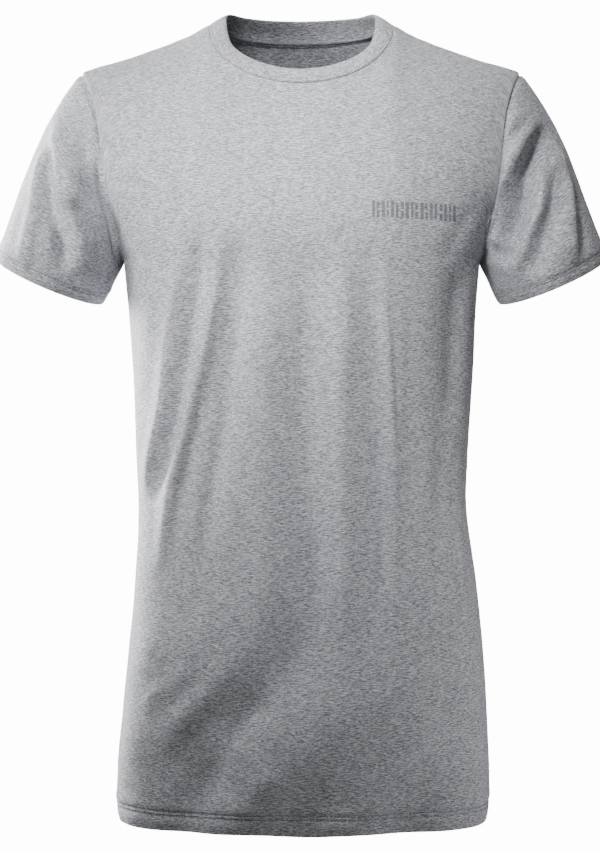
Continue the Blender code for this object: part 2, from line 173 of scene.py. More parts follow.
# ---- creases
# Height is how far a crease stands out (below nought, it is a trough). Lean makes its flank
# towards +X wider and the other one narrower. The path is its line's x and z.
CREASE = "height width lean path"
CREASES = {
    ("body", "front"): table(
        CREASE,
        # slanting flutes under the wearer's right breast, from the side inwards
        (6.0, 10, -0.3, [(-106, -190), (-111, -250), (-117, -297), (-123, -345), (-136, -404),
         (-148, -446)]),
        (-7.0, 8, 0.0, [(-88, -190), (-94, -261), (-100, -297), (-107, -345), (-122, -404), (-140, -456)]),
        (7.0, 9, -0.2, [(-68, -192), (-77, -261), (-83, -297), (-95, -345), (-110, -404), (-122, -475),
         (-130, -520)]),
        (-6.4, 12, 0.1, [(-48, -196), (-56, -261), (-61, -304), (-70, -368), (-82, -440), (-90, -520)]),
        # broad upright flutes over the middle
        (3.2, 15, 0.0, [(-26, -214), (-31, -300), (-33, -400), (-30, -500), (-24, -580)]),
        (-4.0, 14, 0.0, [(6, -206), (4, -300), (3, -404), (9, -480), (8, -580)]),
        (4.4, 12, -0.1, [(38, -196), (38, -300), (38, -404), (41, -500), (40, -600)]),
        # a sharp small pleat and its faint neighbours
        (-3.2, 9, 0.0, [(58, -205), (64, -320), (67, -430), (67, -520), (62, -590)]),
        (3.2, 7, -0.5, [(72, -205), (79, -330), (84, -404), (84, -510), (88, -605)]),
        (-1.6, 8, 0.2, [(94, -240), (98, -340), (98, -440), (100, -540)]),
        (1.3, 7, 0.2, [(112, -340), (112, -440), (108, -560)]),
        (-1.3, 7, 0.2, [(124, -360), (125, -455), (121, -540), (120, -606)]),
        (1.2, 6, 0.0, [(144, -390), (144, -470), (150, -560)]),
        # the side of the chest falls in below the wearer's left arm
        (-4.5, 15, 0.0, [(150, -214), (142, -261), (140, -300), (137, -384)]),
        # the chest swells over a hollow
        (1.5, 26, 0.0, [(-120, -184), (-50, -186), (30, -188), (120, -180)]),
        (-1.2, 22, 0.0, [(-110, -236), (-36, -240), (40, -240)]),
        # a slanting fold above the hem, on the wearer's right, and the hollow below it
        (3.0, 34, 0.0, [(-170, -600), (-100, -566), (-20, -562)]),
        (1.6, 8, 0.0, [(-96, -588), (-118, -606), (-146, -626)]),
        (-1.6, 8, 0.0, [(-84, -594), (-108, -618), (-138, -642)]),
        (3.2, 14, 0.0, [(-38, -570), (-74, -608), (-108, -640), (-140, -684)]),
        (-3.2, 14, 0.0, [(-26, -600), (-52, -640), (-74, -672), (-90, -712)]),
        (-10.0, 30, 0.0, [(-56, -664), (-88, -694), (-112, -726), (-116, -780)]),
        (2.6, 15, 0.0, [(-56, -730), (-40, -700), (-14, -680)]),
        # the lower edge tucks in
        (-7.0, 48, 0.0, [(-176, -752), (0, -752), (176, -752)]),
        # one broad slanting fold on the wearer's left, and all below it lies further in
        (3.8, 14, -0.3, [(126, -576), (98, -606), (66, -646), (42, -684), (24, -716)]),
        (-10.5, 32, 0.0, [(166, -610), (132, -652), (104, -698), (82, -764)]),
        (-1.2, 14, 0.0, [(-76, -470), (-84, -520), (-100, -560)]),
        # small pulls beside the armholes
        (1.2, 5, 0.0, [(-168, -140), (-150, -143), (-130, -158)]),
        (-1.4, 5, 0.0, [(-166, -150), (-148, -156), (-130, -172)]),
        (1.2, 7, 0.0, [(-158, -178), (-140, -196), (-126, -232)]),
        (-1.4, 7, 0.0, [(162, -172), (146, -190), (132, -226)]),
    ),
    ("body", "back"): table(
        CREASE,
        # pulls from the armholes, hollows over the waist, slanting folds above the hem
        (-3.0, 10, 0.0, [(-150, -200), (-120, -262), (-90, -330), (-70, -420)]),
        (2.6, 8, 0.2, [(-152, -240), (-118, -310), (-96, -390)]),
        (-3.0, 11, 0.0, [(148, -196), (122, -250), (100, -320), (86, -400)]),
        (2.4, 8, -0.2, [(150, -232), (124, -300), (104, -372)]),
        (-2.0, 18, 0.0, [(-6, -150), (2, -260), (-4, -380), (6, -480)]),
        (2.0, 20, 0.0, [(-44, -160), (-40, -300), (-46, -440)]),
        (2.0, 20, 0.0, [(44, -180), (42, -320), (38, -470)]),
        (-2.4, 9, 0.0, [(-120, -430), (-60, -462), (10, -470)]),
        (2.2, 8, 0.0, [(-112, -458), (-50, -492), (24, -500)]),
        (-2.2, 9, 0.0, [(126, -446), (80, -480), (30, -488)]),
        (-2.6, 12, 0.0, [(-140, -650), (-80, -622), (-20, -560)]),
        (2.4, 11, 0.0, [(-124, -694), (-64, -660), (-10, -604)]),
        (-2.6, 12, 0.0, [(142, -700), (84, -662), (30, -600)]),
        (1.8, 5, 0.3, [(70, -420), (74, -520), (66, -590)]),
        (1.6, 6, 0.0, [(-158, -150), (-134, -166), (-112, -196)]),
        (-1.6, 6, 0.0, [(160, -146), (136, -164), (114, -200)]),
    ),
    ("sleeve_left", "front"): table(
        CREASE,
        # from the sleeve's head down to its hem
        (3.4, 7, -0.3, [(211, -78), (198, -92), (182, -112)]),
        (-2.4, 6, 0.0, [(213, -94), (198, -106), (184, -125)]),
        (9.0, 10, -0.2, [(227, -84), (207, -111), (192, -135), (178, -159), (164, -184)]),
        (-17.0, 14, 0.0, [(237, -90), (218, -116), (211, -140), (207, -157), (200, -176), (192, -198),
         (186, -231)]),
        (6.5, 8, -0.2, [(227, -123), (221, -141), (216, -172), (203, -202), (194, -241)]),
        (-8.5, 8, 0.0, [(241, -121), (237, -145), (233, -172), (221, -202), (206, -243)]),
        (7.0, 9, -0.2, [(233, -100), (241, -137), (245, -172), (246, -202), (248, -237)]),
        (-3.0, 6, 0.0, [(251, -151), (257, -186), (260, -219)]),
        (3.4, 5, 0.0, [(168, -200), (180, -206), (198, -213)]),
        (-3.2, 5, 0.0, [(172, -213), (182, -219), (196, -223)]),
    ),
    ("sleeve_left", "back"): table(
        CREASE,
        (-4.0, 9, 0.0, [(220, -100), (204, -140), (186, -180)]),
        (3.2, 9, 0.0, [(238, -130), (220, -170), (200, -214)]),
        (-3.0, 8, 0.0, [(250, -150), (238, -190), (224, -226)]),
        (-2.4, 6, 0.0, [(174, -196), (190, -210), (208, -220)]),
    ),
    ("sleeve_right", "front"): table(
        CREASE,
        # two upright ridges, the trough between them, and a small fold beside the armpit
        (9.0, 12, 0.3, [(-231, -78), (-224, -106), (-221, -140), (-212, -172), (-201, -201), (-193, -243)]),
        (6.0, 9, -0.2, [(-231, -104), (-239, -140), (-242, -172), (-247, -201), (-253, -242)]),
        (-8.0, 8, 0.0, [(-225, -112), (-231, -140), (-228, -172), (-218, -201), (-214, -241)]),
        (-5.0, 10, 0.0, [(-204, -106), (-192, -141), (-184, -176)]),
        (3.5, 4.5, 0.0, [(-215, -145), (-198, -166), (-186, -183), (-176, -202)]),
        (-5.0, 8, 0.0, [(-211, -168), (-198, -184), (-188, -198), (-182, -219)]),
        (-7.0, 11, 0.0, [(-184, -202), (-182, -225), (-182, -260)]),
    ),
    ("sleeve_right", "back"): table(
        CREASE,
        (-4.0, 9, 0.0, [(-216, -96), (-200, -136), (-184, -176)]),
        (3.4, 8, 0.0, [(-234, -120), (-216, -166), (-196, -206)]),
        (-3.0, 9, 0.0, [(-252, -156), (-242, -190), (-226, -224)]),
        (2.0, 6, 0.0, [(-176, -206), (-192, -220), (-210, -226)]),
    ),
}

# Unevenness of the cloth: size of its swells each way, where its noise starts, how deep it is,
# and how much deeper it grows towards the body's lower half.
UNEVEN = "size start depth lower"
BODY_UNEVEN = table(
    UNEVEN,
    ((58, 58, 120), 11.3, 0.8, 1.0),
    ((24, 24, 46), 5.1, 0.25, 0.35),
    ((11, 11, 17), 8.8, 0.12, 0.0),
)
SLEEVE_UNEVEN = table(
    UNEVEN,
    ((34, 34, 60), 21.0, 1.1, 0.0),
    ((15, 15, 26), 7.4, 0.35, 0.0),
)

UP = np.array([0.0, 0.0, 1.0])


# ---- numbers and curves
def between(t, start, leave, end, arrive):
    """A cubic from start to end as t runs from 0 to 1, with its slopes at both ends."""
    return ((2 * t**3 - 3 * t**2 + 1) * start + (t**3 - 2 * t**2 + t) * leave
            + (3 * t**2 - 2 * t**3) * end + (t**3 - t**2) * arrive)


def hermite(keys, values, at):
    """A smooth curve through values at keys, read at some places."""
    slopes = np.gradient(values, keys, axis=0)
    at = np.clip(at, keys[0], keys[-1])
    i = np.clip(np.searchsorted(keys, at) - 1, 0, len(keys) - 2)
    span = keys[i + 1] - keys[i]
    t = (at - keys[i]) / span
    if values.ndim > 1:
        t, span = t[..., None], span[..., None]
    return between(t, values[i], span * slopes[i], values[i + 1], span * slopes[i + 1])


def along(rows, column, at):
    """One named column of a table, read at values of its first column."""
    keys = np.array([row[0] for row in rows], dtype=float)
    values = np.array([getattr(row, column) for row in rows], dtype=float)
    return hermite(keys, values, at)


def lengths(points, axis):
    """Length run along a grid's lines, from nought at the first point."""
    steps = np.linalg.norm(np.diff(points, axis=axis), axis=-1)
    start = np.zeros_like(np.take(steps, [0], axis=axis))
    return np.concatenate([start, np.cumsum(steps, axis=axis)], axis=axis)


def line_at(at, run, line):
    """Places on a line, at lengths along it."""
    return np.stack([np.interp(at, run, line[:, k]) for k in range(3)], axis=1)


def unit(vectors):
    """Vectors made one long."""
    length = np.linalg.norm(vectors, axis=-1, keepdims=True)
    return vectors / np.maximum(length, 1e-9)


def ease(value):
    """A soft step from 0 to 1."""
    value = np.clip(value, 0.0, 1.0)
    return value * value * (3.0 - 2.0 * value)


def hump(distance, width):
    """A soft hump, 1 at its middle."""
    return np.exp(-(distance / width) ** 2)


def power_wave(value, power):
    """A sine or cosine bent for a superellipse."""
    return np.copysign(np.abs(value) ** (2.0 / power), value)


def ripple(places, size, start):
    """Smooth unevenness, about -1 to 1, with its own size each way."""
    scaled = places.reshape(-1, 3) / np.array(size, dtype=float) + start
    values = [noise.noise(Vector(place)) for place in scaled]
    return np.array(values).reshape(places.shape[:-1])


# ---- form of the body
def side_share(share):
    """Place in a full section, where columns lie closer at the sides."""
    return SIDE_CROWD * np.sin(0.5 * np.pi * share) + (1.0 - SIDE_CROWD) * share


def section_fullness(share):
    """Depth of a horizontal section as a share of its middle's."""
    return np.maximum(0.0, 1.0 - np.abs(share) ** SECTION_POWER) ** (1.0 / SECTION_POWER)


def ridge_height(panel, share):
    """Top of a panel's columns: the shoulder ridge, or its imagined line across the neck."""
    x = np.abs(share) * SHOULDER_HALF_WIDTH
    height = along(RIDGE, "z", x)
    if panel == "back":
        bow = np.maximum(0.0, 1.0 - (x / NECK_HALF_WIDTH) ** 2)
        height = height + BACK_NECK_RISE * bow**BACK_NECK_POWER
    return height


def upper_points(panel, share, angle):
    """Points above the armpits; angle 0 is armpit height, a right angle the ridge."""
    share, angle = np.broadcast_arrays(share, angle)
    front = (angle > 0.5 * np.pi) | (panel == "front")
    power = np.where(front, FRONT_POWER, BACK_POWER)
    rise = power_wave(np.sin(angle), power)
    lean = power_wave(np.abs(np.cos(angle)), power)
    edge_z = ARMPIT_Z + (ridge_height(panel, 1.0) - ARMPIT_Z) * rise
    wide = side_share(share) * (1.0 - rise) + share * rise
    x = BODY[-1].shift * (1.0 - rise) + along(ARMHOLE, "half_width", edge_z) * wide
    opening = 1.0 + ARM_OPENING * np.minimum(1.0, ARM_STEEP * np.sin(angle))
    depth = np.where(front, BODY[-1].front, BODY[-1].back) * section_fullness(wide / opening)
    y = RIDGE_Y * rise + (depth - RIDGE_Y * rise) * lean
    z = ARMPIT_Z + (ridge_height(panel, share) - ARMPIT_Z) * rise
    return np.stack([x, y, z], axis=-1)


def top_angles(panel, shares):
    """Angles at which columns end, in the shoulder seam or in the round of the neck seam."""
    neck = NECK_HALF_WIDTH / SHOULDER_HALF_WIDTH
    seam = 0.5 * np.pi + math.radians(SEAM_TURN) * (1.0 if panel == "back" else -1.0)
    corner = upper_points(panel, neck, seam)
    low, high = np.zeros_like(shares), np.full_like(shares, seam)
    for _ in range(HALVINGS):
        angle = 0.5 * (low + high)
        points = upper_points(panel, shares, angle)
        beside = np.minimum(1.0, np.abs(points[:, 0]) / corner[0])
        round_neck = np.sqrt(1.0 - beside**2)
        if panel == "front":
            short = points[:, 2] < corner[2] - (NECK_DROP + corner[2]) * round_neck
        else:
            short = points[:, 1] > corner[1] + (NECK_BACK_Y - corner[1]) * round_neck
        low, high = np.where(short, angle, low), np.where(short, high, angle)
    return np.where(np.abs(shares) >= neck - 1e-6, seam, 0.5 * (low + high))


def lower_points(panel, share, z):
    """Points between the hem and the armpits."""
    wide = side_share(share)
    x = along(BODY, "shift", z) + along(BODY, "half_width", z) * wide
    y = along(BODY, panel, z) * section_fullness(wide)
    return np.stack(np.broadcast_arrays(x, y, z), axis=-1)


def fold_depth(panel, points):
    """How far the large folds pull the cloth in."""
    depth = np.zeros(points.shape[:-1])
    for fold in FOLDS[panel]:
        run = np.array([fold.x1 - fold.x0, fold.z1 - fold.z0], dtype=float)
        here = points[..., [0, 2]] - [fold.x0, fold.z0]
        length = np.linalg.norm(run)
        share = here @ run / length**2
        beside = np.abs(run[0] * here[..., 1] - run[1] * here[..., 0]) / length
        past = np.maximum(0.0, np.maximum(-share, share - 1.0)) * length
        depth += fold.depth * hump(np.hypot(beside, past * FOLD_PAST), fold.half_width)
    return depth


def column_shares():
    """Places across a panel: round steps over the neck, and even steps of cloth beyond it."""
    neck = NECK_HALF_WIDTH / SHOULDER_HALF_WIDTH
    place = np.linspace(-1.0, 1.0, NECK_COLUMNS + 1)
    middle = neck * (NECK_EVEN * place + (1.0 - NECK_EVEN) * np.sin(0.5 * np.pi * place))
    dense = np.linspace(neck, 1.0, FINE)
    run = lengths(lower_points("front", dense, ARMPIT_Z), 0)
    steps = CLOTH_STEPS * run / run[-1] + (1.0 - CLOTH_STEPS) * (dense - neck) / (1.0 - neck)
    side = np.interp(np.linspace(0.0, 1.0, SIDE_COLUMNS + 1)[1:], steps, dense)
    return np.concatenate([-side[::-1], middle, side])


def hem_heights(turn_up, stitches):
    """Distances of the close rows beside a hem: its fold, its stitch rows and its turn-up."""
    rows = HEM_FOLD_ROWS + [row + beside for row in stitches for beside in BESIDE_STITCHES]
    rows += [stitches[1] + above for above in ABOVE_STITCHES] + [turn_up + ABOVE_TURN_UP]
    rows = sorted(rows)
    return np.array([row for i, row in enumerate(rows) if i == 0 or row - rows[i - 1] > CLOSEST])


def lower_heights():
    """Heights of the rows from the hem to the armpits."""
    close = HEM_Z + hem_heights(BODY_TURN_UP, HEM_STITCHES)
    count = int((ARMPIT_Z - close[-1]) / CELL)
    return np.concatenate([close, np.linspace(close[-1], ARMPIT_Z, count + 1)[1:]])


def even_rows(points, count):
    """Columns of points given new places at even lengths."""
    run = lengths(points, 0)
    even = np.empty((count + 1, points.shape[1], 3))
    for j in range(points.shape[1]):
        even[:, j] = line_at(np.linspace(0.0, run[-1, j], count + 1), run[:, j], points[:, j])
    return even


def close_lines(points, axis, last):
    """Two more lines beside a grid's edge, where the cloth turns into a seam."""
    points = np.moveaxis(points, axis, 0)
    points = points[::-1] if last else points
    run = points[1] - points[0]
    length = np.linalg.norm(run, axis=-1, keepdims=True)
    lines = [points[0] + run * np.minimum(distance / length, most) for distance, most in SEAM_LINES]
    points = np.concatenate([points[:1], lines, points[1:]])
    points = points[::-1] if last else points
    return np.moveaxis(points, 0, axis)


# Columns and rows of a panel with the close lines beside its edges.
NECK_SLICE = slice(SIDE_COLUMNS + 2, SIDE_COLUMNS + 2 + NECK_COLUMNS + 1)
LOWER_COUNT = len(lower_heights())


def panel_points(panel):
    """Outer points of a body panel before its creases."""
    shares = column_shares()
    lower = lower_points(panel, shares[None, :], lower_heights()[:, None])
    angles = np.linspace(0.0, 1.0, FINE_ANGLES)[:, None] * top_angles(panel, shares)
    upper = even_rows(upper_points(panel, shares, angles), UPPER_ROWS)
    points = np.concatenate([lower, upper[1:]])
    outwards = -1.0 if panel == "front" else 1.0
    points[..., 1] -= outwards * fold_depth(panel, points) * section_fullness(side_share(shares))
    points = close_lines(points, 0, True)
    points = close_lines(points, 1, False)
    return close_lines(points, 1, True)


def grid_normals(points, closed=False):
    """Unit normals of a grid; closed says that its first and last columns are the same line."""
    if closed:
        padded = np.concatenate([points[:, -2:-1], points, points[:, 1:2]], axis=1)
        across = padded[:, 2:] - padded[:, :-2]
    else:
        across = np.gradient(points, axis=1)
    return unit(np.cross(unit(across), unit(np.gradient(points, axis=0))))


def body_panels():
    """Points and normals of front and back, with one normal at the seams that they share."""
    points = {panel: panel_points(panel) for panel in ("front", "back")}
    normals = {"front": grid_normals(points["front"]), "back": -grid_normals(points["back"])}
    beyond_neck = np.r_[0:NECK_SLICE.start + 1, NECK_SLICE.stop - 1:points["front"].shape[1]]
    shared = [(slice(0, LOWER_COUNT), 0), (slice(0, LOWER_COUNT), -1), (-1, beyond_neck)]
    for where in shared:
        middle = unit(normals["front"][where] + normals["back"][where])
        normals["front"][where] = middle
        normals["back"][where] = middle
    return points, normals


# ---- form of the sleeves
SEAM_BEND = 0.3              # turn at the armhole over which a sleeve takes the body's normals


def armhole_loop(points, normals, side):
    """The armhole from the shoulder seam down the front to the armpit and up the back."""
    column = -1 if side > 0 else 0
    rows = slice(LOWER_COUNT - 1, None)
    loops = [np.concatenate([grids["front"][rows, column][::-1], grids["back"][rows, column][1:-1]])
             for grids in (points, normals)]
    return loops[0], unit(loops[1])


def cuff_ring(turns, side):
    """The sleeve hem: a round opening tilted outwards, its front rim a little lower."""
    outer, inner = np.array(CUFF_OUTER), np.array(CUFF_INNER)
    middle, half = (outer + inner) / 2.0, (outer - inner) / 2.0
    centre = np.array([middle[0], CUFF_CENTRE_Y, middle[1]])
    across = np.array([half[0], 0.0, half[1]])
    front = np.array([0.0, -0.5 * CUFF_DEPTH, -CUFF_FRONT_DROP])
    angle = 2.0 * np.pi * turns[:, None]
    ring = centre + across * np.cos(angle) + front * np.sin(angle)
    axis = unit(np.cross(across, front))
    return ring * [side, 1.0, 1.0], axis * (-1.0 if axis[2] > 0 else 1.0) * [side, 1.0, 1.0]


def sleeve_points(points, normals, side):
    """Outer points and normals of a sleeve, from its hem up to the armhole, round from underarm."""
    loop, seam_normals = armhole_loop(points, normals, side)
    steps = np.linalg.norm(np.roll(loop, -1, axis=0) - loop, axis=1)
    turns = np.concatenate([[0.0], np.cumsum(steps)[:-1]]) / steps.sum()
    hem, axis = cuff_ring(turns, side)
    leave = unit(np.stack([along(SLEEVE_START, "x", turns) * side,
                           along(SLEEVE_START, "y", turns),
                           along(SLEEVE_START, "z", turns)], axis=1))
    length = np.linalg.norm(hem - loop, axis=1, keepdims=True)
    close = hem_heights(CUFF_TURN_UP, CUFF_STITCHES)
    places = [1.0 - distance / length for distance in close]
    places += [places[-1] * (1.0 - i / SLEEVE_ROWS) for i in range(1, SLEEVE_ROWS + 1)]
    rings = np.array([between(t, loop, length * leave, hem, length * axis) for t in places])
    armpit = points["front"].shape[0] - LOWER_COUNT
    order = np.roll(np.arange(len(loop)), -armpit)
    order = np.append(order, order[0])
    order = order[::-1] if side > 0 else order
    rings, seam_normals = rings[:, order], seam_normals[order]
    rings = close_lines(close_lines(close_lines(rings, 0, True), 1, False), 1, True)
    seam_normals = np.concatenate([seam_normals[:1]] * 3 + [seam_normals[1:-1]] + [seam_normals[-1:]] * 3)
    own = grid_normals(rings, closed=True)
    bend = np.sum(unit(rings[-2] - rings[-1]) * seam_normals, axis=1, keepdims=True)
    follow = np.clip(0.5 - bend / SEAM_BEND, 0.0, 1.0)
    own[-1] = unit(own[-1] * (1.0 - follow) + seam_normals * follow)
    return rings, own


# ---- creases
CREASE_STEP = 6.0            # between the places of a crease's line
CREASE_REACH = 3.2           # in its widths, past which it moves nothing
CREASE_START = 0.25          # shares of its length over which it rises and fades
CREASE_END = 0.22
SEEN = 0.05                  # cloth that turns at least this much to the viewer carries the line


def crease_line(crease, side, points, normals):
    """A crease's line laid on the side of the cloth that it is seen on."""
    path = np.array(crease.path, dtype=float)
    run = lengths(path, 0)
    count = max(8, int(run[-1] / CREASE_STEP))
    flat = hermite(run, path, np.linspace(0.0, run[-1], count))
    outwards = -1.0 if side == "front" else 1.0
    seen = points[normals[:, 1] * outwards > SEEN]
    depths = []
    for place in flat:
        gap = np.sum((seen[:, [0, 2]] - place) ** 2, axis=1)
        depths.append(seen[np.argmin(gap), 1])
    soft = np.convolve(np.pad(depths, 2, mode="edge"), np.full(5, 0.2), mode="valid")
    return np.stack([flat[:, 0], soft, flat[:, 1]], axis=1)


def crease_height(crease, line, points):
    """How far one crease moves each point along its normal."""
    reach = CREASE_REACH * crease.width * (1.0 + abs(crease.lean))
    near = np.all((points > line.min(axis=0) - reach) & (points < line.max(axis=0) + reach), axis=1)
    height = np.zeros(len(points))
    if not near.any():
        return height
    places = points[near]
    best = np.full(len(places), np.inf)
    share, sign = np.zeros(len(places)), np.ones(len(places))
    for k in range(len(line) - 1):
        run = line[k + 1] - line[k]
        t = np.clip((places - line[k]) @ run / (run @ run), 0.0, 1.0)
        away = places - line[k] - t[:, None] * run
        gap = np.linalg.norm(away, axis=1)
        better = gap < best
        best[better] = gap[better]
        share[better] = (k + t[better]) / (len(line) - 1)
        sign[better] = np.sign(away[better, 0])
    width = crease.width * (1.0 + crease.lean * sign)
    ends = ease(share / CREASE_START) * ease((1.0 - share) / CREASE_END)
    height[near] = crease.height * hump(best, width) * ends
    return height


def creased(piece, points):
    """All the creases of one piece, as a height at each point."""
    flat_points = points.reshape(-1, 3)
    total = np.zeros(len(flat_points))
    for crease, line in LINES[piece]:
        total += crease_height(crease, line, flat_points)
    return total.reshape(points.shape[:-1])


# ---- seams and hems
SEAM_HOLD = 16.0             # how far from a body seam its creases have died away
HELD_FROM_Z = -250.0         # up from here the sides are held by the armholes
HELD_OVER = 28.0
LOOSE_FROM_Z = -120.0        # down from here the cloth grows more uneven
LOOSE_OVER = 200.0
SLEEVE_HOLD = 7.0            # how far from a sleeve's head its creases have died away
CUFF_HOLD = 30.0             # how far up from its hem they are weaker
CUFF_LIVE = 0.25             # where that easing stands at the hem itself
HEAD_DIP = 2.0               # width of the dip where a sleeve meets the body
HEAD_TUCK = 1.2              # how far the sleeve's very edge is drawn in, how wide, and from where
HEAD_TUCK_WIDTH = 1.6
HEAD_EDGE = 1.2
UNDERARM_FROM_Z = -90.0      # down from here a sleeve sinks beside the armpit
UNDERARM_OVER = 110.0
POCKET_AWAY = 6.0            # that hollow's distance from the armhole, its width, and its edge
POCKET_WIDTH = 5.0
POCKET_EDGE = 3.0
UNDERARM_SEAM = 0.8          # depth and width of its own seam
UNDERARM_SEAM_WIDTH = 1.2
SEAM_DEPTH = 1.5             # how deep cloth rolls into a seam
SEAM_SWELL = 0.4             # how far it swells beside it
FOLD_RADIUS = 1.1            # of a hem's lower edge, and how far it rounds away
FOLD_ROUND = 1.0
GROOVE_DEPTH = 0.85          # under a row of stitches
GROOVE_WIDTH = 0.9
TUCK = 2.2                   # how far a hem's lower edge is drawn in below its stitches
HEM_BELLY = 0.45             # swell of the doubled cloth, and of the single cloth above it
ABOVE_BELLY = 0.6
ABOVE_AWAY = 5.0             # that one's distance from the upper stitches, and its width
ABOVE_WIDTH = 4.0
HEM_PUCKER = (7.5, 7.5, 30)  # size of the puckers each way
CUFF_PUCKER = (7.0, 7.0, 7.0)
CUFF_STRENGTH = 0.45         # share of the body hem's grooves and swells that a sleeve's has
PUCKER_ABOVE = 0.55          # their depth above the upper stitches, and within the hem
PUCKER_BELOW = 0.3
PUCKER_AWAY = 2.5
PUCKER_WIDTH = 5.0

# Puckers beside the other seams: their size each way, where their noise starts, their depth,
# their distance from the seam and their width.
PUCKERS = {row.seam: row for row in table(
    "seam size start depth away width",
    ("body_top", (9, 9, 9), 2.2, 0.3, 5.0, 4.0),
    ("body_side", (12, 12, 7), 6.4, 0.35, 6.0, 5.0),
    ("sleeve_head", (10, 10, 10), 4.1, 0.4, 5.0, 4.5),
)}


def puckers(seam, points, distance):
    """Small uneven swells that a seam's stitches gather beside it."""
    row = PUCKERS[seam]
    return row.depth * ripple(points, row.size, row.start) * hump(distance - row.away, row.width)


def seam_dip(distance, width=1.1):
    """Cloth rolls into a seam, and swells a little beside it."""
    swell = SEAM_SWELL * hump(distance - 3.6 * width, 2.6 * width)
    return swell - SEAM_DEPTH * hump(distance, width)


def hem_form(distance, stitches, places, size, strength):
    """Rounded fold, stitched grooves and puckers of a hem."""
    fold = 1.0 - np.clip(distance / FOLD_RADIUS, 0.0, 1.0)
    height = -FOLD_ROUND * (1.0 - np.sqrt(1.0 - fold**2))
    for row in stitches:
        height = height - GROOVE_DEPTH * strength * hump(distance - row, GROOVE_WIDTH)
    height = height - TUCK * strength * (1.0 - ease(distance / stitches[0]))
    middle = 0.5 * stitches[0]
    height = height + HEM_BELLY * strength * hump(distance - middle, 0.5 * middle)
    height = height + ABOVE_BELLY * strength * hump(distance - stitches[1] - ABOVE_AWAY, ABOVE_WIDTH)
    pucker = ripple(places, size, 3.7)
    height = height + PUCKER_ABOVE * pucker * hump(distance - stitches[1] - PUCKER_AWAY, PUCKER_WIDTH)
    return height + PUCKER_BELOW * pucker * hump(distance - middle, PUCKER_WIDTH)


def shape_panel(points, normals):
    """A body panel's points with creases, unevenness, seams and hem."""
    down = lengths(points, 0)
    beside = lengths(points, 1)
    from_top = down[-1] - down
    from_side = np.minimum(beside, beside[:, -1:] - beside)
    above = ease((points[..., 2] - HELD_FROM_Z) / HELD_OVER)
    held = ease(from_top / SEAM_HOLD) * (1.0 - (1.0 - ease(from_side / SEAM_HOLD)) * above)
    low = ease((LOOSE_FROM_Z - points[..., 2]) / LOOSE_OVER)
    height = creased("body", points)
    for row in BODY_UNEVEN:
        height += ripple(points, row.size, row.start) * (row.depth + row.lower * low)
    height *= held
    height += seam_dip(from_side) + seam_dip(from_top)
    height += puckers("body_top", points, from_top)
    height += puckers("body_side", points, from_side)
    height += hem_form(points[..., 2] - HEM_Z, HEM_STITCHES, points, HEM_PUCKER, 1.0)
    return points + normals * height[..., None]


def shape_sleeve(piece, points, normals):
    """A sleeve's points with creases, unevenness, seams and hem."""
    down = lengths(points, 0)
    round_it = lengths(points, 1)
    from_top = down[-1] - down
    from_seam = np.minimum(round_it, round_it[:, -1:] - round_it)
    height = creased(piece, points)
    for row in SLEEVE_UNEVEN:
        height += ripple(points, row.size, row.start) * row.depth
    height *= ease(from_top / SLEEVE_HOLD) * ease(down / CUFF_HOLD + CUFF_LIVE)
    height += seam_dip(from_top, HEAD_DIP)
    underarm = ease((UNDERARM_FROM_Z - points[..., 2]) / UNDERARM_OVER)
    facing_front = np.clip(-normals[..., 1], 0.0, 1.0)
    pocket = hump(from_top - POCKET_AWAY, POCKET_WIDTH) * ease(from_top / POCKET_EDGE)
    pocket = underarm * facing_front * pocket
    height -= ARMPIT_POCKET[piece] * pocket
    height -= HEAD_TUCK * hump(from_top - HEAD_TUCK_WIDTH, HEAD_TUCK_WIDTH) * ease(from_top / HEAD_EDGE)
    height -= UNDERARM_SEAM * hump(from_seam, UNDERARM_SEAM_WIDTH)
    height += puckers("sleeve_head", points, from_top)
    height += hem_form(down, CUFF_STITCHES, points, CUFF_PUCKER, CUFF_STRENGTH)
    return points + normals * height[..., None]


# ---- meshes
SHARP = 50.0                 # degrees; a wall's edges stay sharp, its cloth is smooth
MERGE = 0.00002              # metres; corners any nearer are one


def deselect():
    """Nothing selected, so that an operator acts on the new piece alone."""
    bpy.ops.object.select_all(action="DESELECT")


def select_only(piece):
    """One piece selected and active."""
    deselect()
    piece.select_set(True)
    bpy.context.view_layer.objects.active = piece


def new_object(name, data):
    """An object of its own in the scene."""
    made = bpy.data.objects.new(name, data)
    bpy.context.scene.collection.objects.link(made)
    return made


def grid_piece(name, points, u, v, weld=False):
    """A grid primitive laid through points, with its cloth measured in its UV map, in metres."""
    rows, columns = points.shape[:2]
    deselect()
    bpy.ops.mesh.primitive_grid_add(x_subdivisions=columns - 1, y_subdivisions=rows - 1, size=1.0)
    piece = bpy.context.object
    piece.name = name
    mesh = piece.data
    mesh.name = name
    mesh.vertices.foreach_set("co", (points * MM).reshape(-1))
    corners = np.zeros(len(mesh.loops), dtype=np.int64)
    mesh.loops.foreach_get("vertex_index", corners)
    cloth = np.stack(np.broadcast_arrays(u, v), axis=-1).reshape(-1, 2)[corners] * MM
    mesh.uv_layers.active.data.foreach_set("uv", cloth.reshape(-1))
    if weld:
        bpy.ops.object.mode_set(mode="EDIT")
        bpy.ops.mesh.select_all(action="SELECT")
        bpy.ops.mesh.remove_doubles(threshold=MERGE)
        bpy.ops.object.mode_set(mode="OBJECT")
    mesh.update()
    return piece


